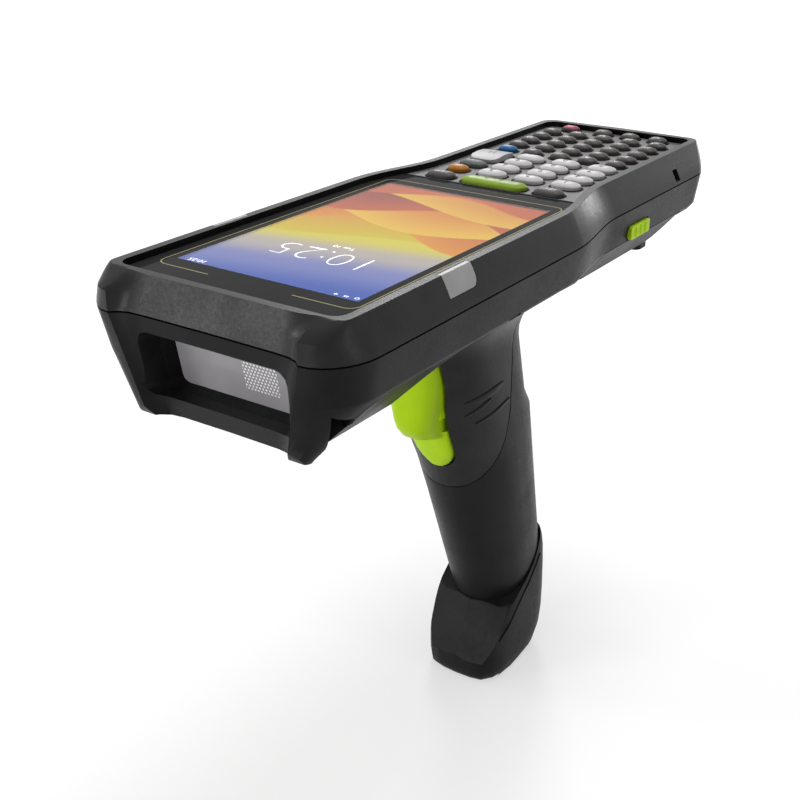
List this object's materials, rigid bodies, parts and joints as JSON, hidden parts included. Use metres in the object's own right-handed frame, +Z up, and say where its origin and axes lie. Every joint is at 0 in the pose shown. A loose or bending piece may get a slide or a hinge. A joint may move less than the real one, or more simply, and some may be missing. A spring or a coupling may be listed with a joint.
{
  "type": "portable barcode data terminal",
  "caption": "Handheld barcode data terminal with a touch screen, a long rubber-free keypad and a pistol grip with a trigger, reading through a window in its front end.",
  "frame": {"origin": "centre of the overall length and width, on the surface the butt of the handle stands on", "axes": "+Z up, from the butt to the screen; +Y from the scan end to the keypad end; +X to the right-hand side seen from above with the scan end towards the viewer"},
  "size_m": [0.075, 0.2096, 0.1641],
  "materials": {
    "upper_shell": "satin, fine grain",
    "lower_shell": "satin, fine grain",
    "black_rubber": "soft matte",
    "glass": "clear, polished",
    "display": "lit picture under glass",
    "frame_metal": "die cast",
    "board": "solder mask",
    "light_pipe": "frosted translucent",
    "black_plastic": "matte",
    "lens": "coated lens",
    "keypad_plate": "satin",
    "battery_case": "satin, fine grain",
    "contact_metal": "gold flash",
    "steel": "plain",
    "lime": "satin",
    "dark_key": "satin, printed",
    "grey_key": "satin, printed",
    "light_key": "satin, printed",
    "orange_key": "satin, printed",
    "blue_key": "satin, printed",
    "red_key": "satin, printed"
  },
  "bodies": {
    "body": {"front_housing": "upper_shell", "rear_housing": "lower_shell", "housing_seal": "black_rubber", "cover_glass": "glass", "display_panel": "display", "mid_frame": "frame_metal", "main_board": "board", "led_pipe_left": "light_pipe", "led_pipe_right": "light_pipe", "window_bezel": "black_plastic", "scan_window": "glass", "scan_engine": "black_plastic", "scan_lens": "lens", "aim_diffuser": "light_pipe", "keypad_plate": "keypad_plate", "keypad_mat": "black_rubber", "keypad_board": "board", "battery_pack": "battery_case", "battery_contacts": "contact_metal", "battery_feet": "black_rubber", "handle_grip": "lower_shell", "handle_shroud": "upper_shell", "handle_boot": "black_rubber", "trigger_pin": "steel", "trigger_switch": "black_plastic"},
    "trigger": {"trigger": "lime", "trigger_spring": "steel"},
    "battery_latch_left": {"battery_latch_left": "lime"},
    "battery_latch_right": {"battery_latch_right": "lime"},
    "scan_key": {"scan_key": "lime"},
    "left_function_key": {"left_function_key": "dark_key"},
    "right_function_key": {"right_function_key": "dark_key"},
    "orange_key": {"orange_key": "orange_key"},
    "shift_key": {"shift_key": "grey_key"},
    "enter_key": {"enter_key": "light_key"},
    "blue_key": {"blue_key": "blue_key"},
    "power_key": {"power_key": "red_key"},
    "number_key_1": {"number_key_1": "light_key"},
    "number_key_2": {"number_key_2": "light_key"},
    "number_key_3": {"number_key_3": "light_key"},
    "number_key_4": {"number_key_4": "light_key"},
    "number_key_5": {"number_key_5": "light_key"},
    "number_key_6": {"number_key_6": "light_key"},
    "number_key_7": {"number_key_7": "light_key"},
    "number_key_8": {"number_key_8": "light_key"},
    "number_key_9": {"number_key_9": "light_key"},
    "number_key_10": {"number_key_10": "light_key"},
    "number_key_11": {"number_key_11": "light_key"},
    "number_key_12": {"number_key_12": "light_key"},
    "letter_row_1": {"letter_row_1": "dark_key"},
    "letter_row_2": {"letter_row_2": "dark_key"},
    "letter_row_3": {"letter_row_3": "dark_key"},
    "letter_row_4": {"letter_row_4": "dark_key"},
    "letter_row_5": {"letter_row_5": "dark_key"},
    "letter_row_6": {"letter_row_6": "dark_key"}
  },
  "joints": [
    {"name": "scan_key_press", "type": "slide", "parent": "body", "child": "scan_key", "axis": [0, 0, -1], "range_m": [0, 0.0008], "stiffness_N_per_m": 400},
    {"name": "left_function_key_press", "type": "slide", "parent": "body", "child": "left_function_key", "axis": [0, 0, -1], "range_m": [0, 0.0008], "stiffness_N_per_m": 400},
    {"name": "right_function_key_press", "type": "slide", "parent": "body", "child": "right_function_key", "axis": [0, 0, -1], "range_m": [0, 0.0008], "stiffness_N_per_m": 400},
    {"name": "orange_key_press", "type": "slide", "parent": "body", "child": "orange_key", "axis": [0, 0, -1], "range_m": [0, 0.0008], "stiffness_N_per_m": 400},
    {"name": "shift_key_press", "type": "slide", "parent": "body", "child": "shift_key", "axis": [0, 0, -1], "range_m": [0, 0.0008], "stiffness_N_per_m": 400},
    {"name": "enter_key_press", "type": "slide", "parent": "body", "child": "enter_key", "axis": [0, 0, -1], "range_m": [0, 0.0008], "stiffness_N_per_m": 400},
    {"name": "blue_key_press", "type": "slide", "parent": "body", "child": "blue_key", "axis": [0, 0, -1], "range_m": [0, 0.0008], "stiffness_N_per_m": 400},
    {"name": "power_key_press", "type": "slide", "parent": "body", "child": "power_key", "axis": [0, 0, -1], "range_m": [0, 0.0008], "stiffness_N_per_m": 400},
    {"name": "number_key_1_press", "type": "slide", "parent": "body", "child": "number_key_1", "axis": [0, 0, -1], "range_m": [0, 0.0008], "stiffness_N_per_m": 400},
    {"name": "number_key_2_press", "type": "slide", "parent": "body", "child": "number_key_2", "axis": [0, 0, -1], "range_m": [0, 0.0008], "stiffness_N_per_m": 400},
    {"name": "number_key_3_press", "type": "slide", "parent": "body", "child": "number_key_3", "axis": [0, 0, -1], "range_m": [0, 0.0008], "stiffness_N_per_m": 400},
    {"name": "number_key_4_press", "type": "slide", "parent": "body", "child": "number_key_4", "axis": [0, 0, -1], "range_m": [0, 0.0008], "stiffness_N_per_m": 400},
    {"name": "number_key_5_press", "type": "slide", "parent": "body", "child": "number_key_5", "axis": [0, 0, -1], "range_m": [0, 0.0008], "stiffness_N_per_m": 400},
    {"name": "number_key_6_press", "type": "slide", "parent": "body", "child": "number_key_6", "axis": [0, 0, -1], "range_m": [0, 0.0008], "stiffness_N_per_m": 400},
    {"name": "number_key_7_press", "type": "slide", "parent": "body", "child": "number_key_7", "axis": [0, 0, -1], "range_m": [0, 0.0008], "stiffness_N_per_m": 400},
    {"name": "number_key_8_press", "type": "slide", "parent": "body", "child": "number_key_8", "axis": [0, 0, -1], "range_m": [0, 0.0008], "stiffness_N_per_m": 400},
    {"name": "number_key_9_press", "type": "slide", "parent": "body", "child": "number_key_9", "axis": [0, 0, -1], "range_m": [0, 0.0008], "stiffness_N_per_m": 400},
    {"name": "number_key_10_press", "type": "slide", "parent": "body", "child": "number_key_10", "axis": [0, 0, -1], "range_m": [0, 0.0008], "stiffness_N_per_m": 400},
    {"name": "number_key_11_press", "type": "slide", "parent": "body", "child": "number_key_11", "axis": [0, 0, -1], "range_m": [0, 0.0008], "stiffness_N_per_m": 400},
    {"name": "number_key_12_press", "type": "slide", "parent": "body", "child": "number_key_12", "axis": [0, 0, -1], "range_m": [0, 0.0008], "stiffness_N_per_m": 400},
    {"name": "letter_row_1_press", "type": "slide", "parent": "body", "child": "letter_row_1", "axis": [0, 0, -1], "range_m": [0, 0.0008], "stiffness_N_per_m": 400},
    {"name": "letter_row_2_press", "type": "slide", "parent": "body", "child": "letter_row_2", "axis": [0, 0, -1], "range_m": [0, 0.0008], "stiffness_N_per_m": 400},
    {"name": "letter_row_3_press", "type": "slide", "parent": "body", "child": "letter_row_3", "axis": [0, 0, -1], "range_m": [0, 0.0008], "stiffness_N_per_m": 400},
    {"name": "letter_row_4_press", "type": "slide", "parent": "body", "child": "letter_row_4", "axis": [0, 0, -1], "range_m": [0, 0.0008], "stiffness_N_per_m": 400},
    {"name": "letter_row_5_press", "type": "slide", "parent": "body", "child": "letter_row_5", "axis": [0, 0, -1], "range_m": [0, 0.0008], "stiffness_N_per_m": 400},
    {"name": "letter_row_6_press", "type": "slide", "parent": "body", "child": "letter_row_6", "axis": [0, 0, -1], "range_m": [0, 0.0008], "stiffness_N_per_m": 400},
    {"name": "trigger_pull", "type": "hinge", "parent": "body", "child": "trigger", "pos_m": [0, -0.01068, 0.1223], "axis": [1, 0, 0], "range_deg": [0, 7], "stiffness_Nm_per_rad": 1.5, "springref_deg": -5.73},
    {"name": "battery_latch_left_press", "type": "slide", "parent": "body", "child": "battery_latch_left", "axis": [-1, 0, 0], "range_m": [0, 0.0016], "stiffness_N_per_m": 900},
    {"name": "battery_latch_right_press", "type": "slide", "parent": "body", "child": "battery_latch_right", "axis": [1, 0, 0], "range_m": [0, 0.0016], "stiffness_N_per_m": 900}
  ]
}
